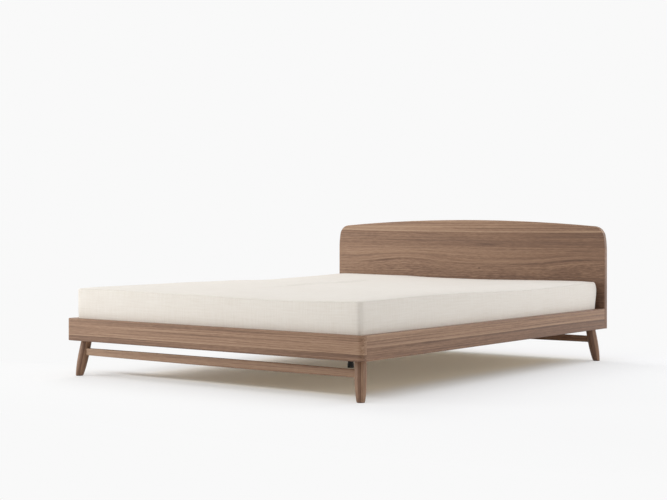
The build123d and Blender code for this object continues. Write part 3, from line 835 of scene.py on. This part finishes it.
def stitch_loop(mesh, edge):
    """The points of a row of stitches round the side band, just inside the rim seam, in order."""
    turn = math.radians(90.0 / ROUND_SEGMENTS)
    side_in, edge_in = RIM_RADIUS * (1 - math.cos(turn)), RIM_RADIUS * (1 - math.sin(turn))
    chosen = []
    for vertex in mesh.verts:
        place = vertex.co
        from_edge = box_high.z - place.z if edge == "top" else place.z - box_low.z
        off_side, off_edge = insets(place)[2] - side_in, from_edge - edge_in
        if abs(off_side) < STITCH_NEAR and abs(off_edge) < STITCH_NEAR:
            chosen.append(vertex.index)
    return sorted(chosen, key=lambda index: wrap_length(mesh.verts[index].co))


def stitch_tree():
    """Lays short raised stitches end to end along a closed path that lies on cloth."""
    tree = bpy.data.node_groups.new("stitch_row", "GeometryNodeTree")
    tree.interface.new_socket("Geometry", in_out="INPUT", socket_type="NodeSocketGeometry")
    sockets = {}
    for title, (kind, _) in STITCH_INPUTS.items():
        socket = tree.interface.new_socket(title, in_out="INPUT", socket_type=f"NodeSocket{kind}")
        sockets[title] = socket.identifier
    tree.interface.new_socket("Geometry", in_out="OUTPUT", socket_type="NodeSocketGeometry")
    given = add_node(tree, "NodeGroupInput").outputs

    path = add_node(tree, "GeometryNodeMeshToCurve", {"Mesh": given["Geometry"]})
    spaced = add_node(tree, "GeometryNodeResampleCurve", mode="LENGTH")
    feed(tree, spaced, {"Curve": path.outputs["Curve"], "Length": given["Pitch"]})
    ball = add_node(tree, "GeometryNodeMeshUVSphere", {"Segments": 6, "Rings": 5, "Radius": 0.5})
    size = combine(tree, given["Stitch Length"], given["Thread Width"], given["Thread Width"])
    stitch = add_node(tree, "GeometryNodeTransform", {"Geometry": ball.outputs["Mesh"], "Scale": size})

    tangent = add_node(tree, "GeometryNodeInputTangent").outputs["Tangent"]
    along = add_node(tree, "FunctionNodeAlignRotationToVector", {"Vector": tangent}, axis="X")
    chance = add_node(tree, "FunctionNodeRandomValue", data_type="FLOAT")
    scalar = {socket.identifier: socket for socket in (*chance.inputs, *chance.outputs)}
    for key, value in (("Min_001", -STITCH_TILT), ("Max_001", STITCH_TILT), ("Seed", given["Seed"])):
        plug(tree, value, scalar[key])
    tilt = add_node(tree, "FunctionNodeAxisAngleToRotation", {
        "Axis": (0.0, 0.0, 1.0), "Angle": scalar["Value_001"],
    })
    tilted = add_node(tree, "FunctionNodeRotateRotation", {
        "Rotation": along.outputs["Rotation"], "Rotate By": tilt.outputs["Rotation"],
    }, rotation_space="LOCAL")

    placed = add_node(tree, "GeometryNodeInstanceOnPoints", {
        "Points": spaced.outputs["Curve"], "Instance": stitch.outputs["Geometry"],
        "Rotation": tilted.outputs["Rotation"],
    })
    real = add_node(tree, "GeometryNodeRealizeInstances", {"Geometry": placed.outputs["Instances"]})
    painted = add_node(tree, "GeometryNodeSetMaterial", {
        "Geometry": real.outputs["Geometry"], "Material": given["Thread"],
    })
    add_node(tree, "NodeGroupOutput", {"Geometry": painted.outputs["Geometry"]})
    return tree, sockets


def sewn_rows(cover, rows):
    """The stitches along the cover's rim seams, as one plain mesh that lies on the cover."""
    surface = BVHTree.FromObject(cover, bpy.context.evaluated_depsgraph_get())
    points, edges = [], []
    for row in rows:
        start, count = len(points), len(row)
        for index in row:
            place, normal, _, _ = surface.find_nearest(cover.data.vertices[index].co)
            points.append(place + normal * THREAD_LIFT * THREAD_WIDTH)
        edges += [(start + step, start + (step + 1) % count) for step in range(count)]
    lines = bpy.data.meshes.new("stitch_lines")
    lines.from_pydata(points, edges, [])
    guide = bpy.data.objects.new("stitch_lines", lines)
    scene.collection.objects.link(guide)
    tree, sockets = stitch_tree()
    maker = guide.modifiers.new("stitch_row", "NODES")
    maker.node_group = tree
    for title, (_, value) in STITCH_INPUTS.items():
        maker[sockets[title]] = value
    plain = bpy.data.meshes.new_from_object(guide.evaluated_get(bpy.context.evaluated_depsgraph_get()))
    bpy.data.objects.remove(guide)
    sewn = bpy.data.objects.new("mattress_stitches", plain)
    scene.collection.objects.link(sewn)
    for polygon in plain.polygons:
        polygon.use_smooth = True
    return sewn


def soft_mattress():
    """The stuffed and settled cover, and its stitches."""
    mesh = sewn_box()
    give_cloth_uv(mesh)
    held = [vertex.index for vertex in mesh.verts if on_seam(vertex.co)]
    rows = [stitch_loop(mesh, edge) for edge in ("top", "bottom")]
    cover = bpy.data.meshes.new("mattress")
    mesh.to_mesh(cover)
    mesh.free()
    piece = bpy.data.objects.new("mattress", cover)
    scene.collection.objects.link(piece)
    cover.materials.append(LINEN)

    stuff(piece, held)
    for vertex in cover.vertices:
        vertex.co = settle(hold_in(vertex.co))
    # the seams draw the cloth in
    cover.update()
    drawn_in = {index: SEAM_DEPTH * cover.vertex_normals[index].vector for index in held}
    for index, pull in drawn_in.items():
        cover.vertices[index].co -= pull
    for polygon in cover.polygons:
        polygon.use_smooth = True
    subdivide = piece.modifiers.new("softness", "SUBSURF")
    subdivide.levels = 1
    subdivide.render_levels = 1
    return piece, sewn_rows(piece, rows)


mattress, stitches = soft_mattress()
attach(mattress, "mattress")
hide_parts(*MATTRESS_NODES)
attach(stitches, "mattress")


# ---------------------------------------------------------------- studio
BACKDROP = 0.947
ROOM_LIGHT = 0.4
FLOOR_PAINT = 0.9
FLOOR_REACH = 60.0
half_width, half_length = cad_bounds[1][0], cad_bounds[1][1]

# how much of the floor has faded into the backdrop, by distance from the bed's outline
FLOOR_FADE = [
    (-0.55, 0.13), (-0.35, 0.11), (-0.20, 0.15), (-0.12, 0.24), (-0.03, 0.36), (0.04, 0.48), (0.12, 0.60),
    (0.20, 0.70), (0.30, 0.82), (0.60, 0.93), (1.00, 1.00),
]
RIGHT_FADE_SLOWER = 0.35
HEAD_FADE_LATER = 0.12
# painted light: a glow on the floor where light reaches in under the foot rail, by distance
# from the rail's face; its strength changes across the bed, and falls to nothing at both ends
FOOT_GLIMMER = [
    (-0.26, 0.0), (-0.228, 0.02), (-0.205, 0.50), (-0.187, 0.94), (-0.160, 0.88), (-0.135, 0.62),
    (-0.10, 0.37), (-0.06, 0.48), (-0.02, 0.58), (0.05, 0.45), (0.25, 0.0),
]
GLIMMER_LEFT, GLIMMER_RIGHT = 0.35, 0.25
GLIMMER_CHANGE = (-0.20, 0.40)
GLIMMER_LEFT_END = (-0.84, -0.66)
GLIMMER_RIGHT_END = (0.85, 0.62)
# painted light: a glow on the floor where light reaches in from the left side, by place across the bed, and
# where it begins
LEFT_GLIMMER = [
    (-1.15, 0.10), (-0.83, 0.41), (-0.72, 0.45), (-0.63, 0.52), (-0.55, 0.32), (-0.45, 0.11), (-0.30, 0.0),
]
LEFT_GLIMMER_START = (-0.83, -0.74)
# painted warm shade: under the bed the floor and its glow are tinted warm, as in its shadow, by distance from
# its outline, and from left to middle
SHADE_TINT, SHADE_SPAN = (1.0, 0.98, 0.88), (0.05, -0.25)
GLOW_TINT, GLOW_SPAN = (1.0, 0.85, 0.66), (-0.14, -0.27)
WARM_SPAN = (-0.9, 0.0)


def outline_distance(tree, x, y):
    """Distance outside the bed's outline on the floor, less than 0 inside it."""
    beyond_x = minus(tree, math_node(tree, "ABSOLUTE", x), half_width)
    beyond_head = minus(tree, y, half_length + HEAD_FADE_LATER)
    beyond_y = math_node(tree, "MAXIMUM", minus(tree, -half_length, y), beyond_head)
    right = math_node(tree, "MAXIMUM", minus(tree, x, half_width), 0.0)
    left = math_node(tree, "MAXIMUM", minus(tree, -half_width, x), 0.0)
    out_x = add(tree, left, right, RIGHT_FADE_SLOWER)
    out_y = math_node(tree, "MAXIMUM", beyond_y, 0.0)
    outside = math_node(tree, "SQRT", add(tree, times(tree, out_x, out_x), times(tree, out_y, out_y)))
    inside = math_node(tree, "MINIMUM", math_node(tree, "MAXIMUM", beyond_x, beyond_y), 0.0)
    return add(tree, outside, inside)


def floor_fade(tree, x, y, distance):
    """How much of the floor has faded into the backdrop, from 0 to 1, with painted light added where light
    reaches in under the bed.
    """
    past_foot = minus(tree, -half_length, y)
    strength = remap(tree, x, *GLIMMER_CHANGE, GLIMMER_LEFT, GLIMMER_RIGHT)
    for end in (GLIMMER_RIGHT_END, GLIMMER_LEFT_END):
        strength = times(tree, strength, remap(tree, x, *end))
    fade = curve(tree, distance, FLOOR_FADE, "LINEAR")
    fade = add(tree, fade, curve(tree, past_foot, FOOT_GLIMMER, "LINEAR"), strength)
    fade = add(tree, fade, curve(tree, x, LEFT_GLIMMER, "LINEAR"), remap(tree, y, *LEFT_GLIMMER_START))
    return math_node(tree, "MINIMUM", fade, 1.0)


def floor():
    """A wide pale floor. It keeps the bed's shadow and fades into the backdrop far from it; under the bed it
    has painted warm shade and painted light.
    """
    made, tree, shader = new_material("studio_floor")
    ray = add_node(tree, "ShaderNodeLightPath").outputs
    x, y, _ = separate(tree, object_coordinates(tree))
    distance = outline_distance(tree, x, y)
    painted_warmth = remap(tree, x, *WARM_SPAN)
    shade = times(tree, remap(tree, distance, *SHADE_SPAN), painted_warmth)
    tint = mix_colour(tree, shade, WHITE, SHADE_TINT)
    feed(tree, shader, {
        "Base Color": mix_colour(tree, ray["Is Camera Ray"], (FLOOR_PAINT,) * 3, tint),
        "Roughness": 0.95,
        "Specular IOR Level": 0.0,
    })
    painted_glow_warmth = times(tree, remap(tree, distance, *GLOW_SPAN), painted_warmth)
    glow_colour = mix_colour(tree, painted_glow_warmth, (BACKDROP,) * 3, tuple(BACKDROP * part for part in GLOW_TINT))
    glow = add_node(tree, "ShaderNodeEmission", {"Color": glow_colour})
    seen = math_node(tree, "MAXIMUM", ray["Is Camera Ray"], ray["Is Glossy Ray"])
    mixer = add_node(tree, "ShaderNodeMixShader", {
        0: times(tree, seen, floor_fade(tree, x, y, distance)),
        1: shader.outputs["BSDF"],
        2: glow.outputs["Emission"],
    })
    output = next(node for node in tree.nodes if node.type == "OUTPUT_MATERIAL")
    feed(tree, output, {"Surface": mixer.outputs[0]})
    mesh = bpy.data.meshes.new("floor")
    corners = ((-1, -1), (1, -1), (1, 1), (-1, 1))
    mesh.from_pydata([(FLOOR_REACH * x_side, FLOOR_REACH * y_side, 0) for x_side, y_side in corners], [],
                     [(0, 1, 2, 3)])
    mesh.materials.append(made)
    piece = bpy.data.objects.new("floor", mesh)
    scene.collection.objects.link(piece)


def backdrop():
    """Pale room light, and a near-white background where the camera looks past the bed."""
    world = bpy.data.worlds.new("studio")
    scene.world = world
    world.use_nodes = True
    tree = world.node_tree
    tree.nodes.clear()
    room = add_node(tree, "ShaderNodeBackground", {"Color": opaque(WHITE), "Strength": ROOM_LIGHT})
    seen = add_node(tree, "ShaderNodeBackground", {"Color": opaque((BACKDROP,) * 3), "Strength": 1.0})
    ray = add_node(tree, "ShaderNodeLightPath").outputs
    direct = math_node(tree, "MAXIMUM", ray["Is Camera Ray"], ray["Is Glossy Ray"])
    direct = math_node(tree, "MAXIMUM", direct, ray["Is Transmission Ray"])
    mixer = add_node(tree, "ShaderNodeMixShader", {0: direct, 1: room.outputs[0], 2: seen.outputs[0]})
    add_node(tree, "ShaderNodeOutputWorld", {"Surface": mixer.outputs[0]})


LAMP_SIDE = 2.4
LAMP_TARGET = Vector((0.0, 0.0, 0.3))
SKY_TINT = (0.92, 0.97, 1.12)
LATE_TINT = (1.0, 0.985, 0.955)
# each lamp's name, place, power in watts and colour
LAMPS = (
    ("left_light", (-2.6, 1.4, 3.5), 70, WHITE),
    ("front_left_light", (-4.2, -4.0, 1.6), 131, WHITE),
    ("front_light", (0.0, -3.1, 3.4), 40, WHITE),
    ("right_light", (5.9, 0.45, 1.25), 65, LATE_TINT),
    ("back_right_light", (1.8, 4.23, 1.3), 39, WHITE),
    ("back_light", (2.2, 2.2, 3.4), 33, SKY_TINT),
)


def softbox(name, place, power, colour):
    """A square lamp that faces the bed."""
    lamp = bpy.data.lights.new(name, "AREA")
    lamp.shape = "RECTANGLE"
    lamp.size = LAMP_SIDE
    lamp.size_y = LAMP_SIDE
    lamp.energy = power
    lamp.color = colour
    piece = bpy.data.objects.new(name, lamp)
    piece.location = place
    piece.rotation_euler = (LAMP_TARGET - Vector(place)).to_track_quat("-Z", "Y").to_euler()
    scene.collection.objects.link(piece)


floor()
backdrop()
for lamp in LAMPS:
    softbox(*lamp)

# a level camera at the headboard's height, off the bed's right foot corner
CAMERA_PLACE = (4.0345, -5.5065, 0.7214)
CAMERA_TURN = math.radians(36.92)
CAMERA_SENSOR = 36.0
CAMERA_LENS = 76.43
CAMERA_SHIFT = -0.0479

camera_data = bpy.data.cameras.new("camera")
camera_data.sensor_width = CAMERA_SENSOR
camera_data.lens = CAMERA_LENS
camera_data.shift_y = CAMERA_SHIFT
camera_data.dof.use_dof = False
camera = bpy.data.objects.new("camera", camera_data)
camera.location = CAMERA_PLACE
camera.rotation_euler = (math.radians(90.0), 0.0, CAMERA_TURN)
scene.collection.objects.link(camera)
scene.camera = camera
scene.view_settings.view_transform = "Standard"
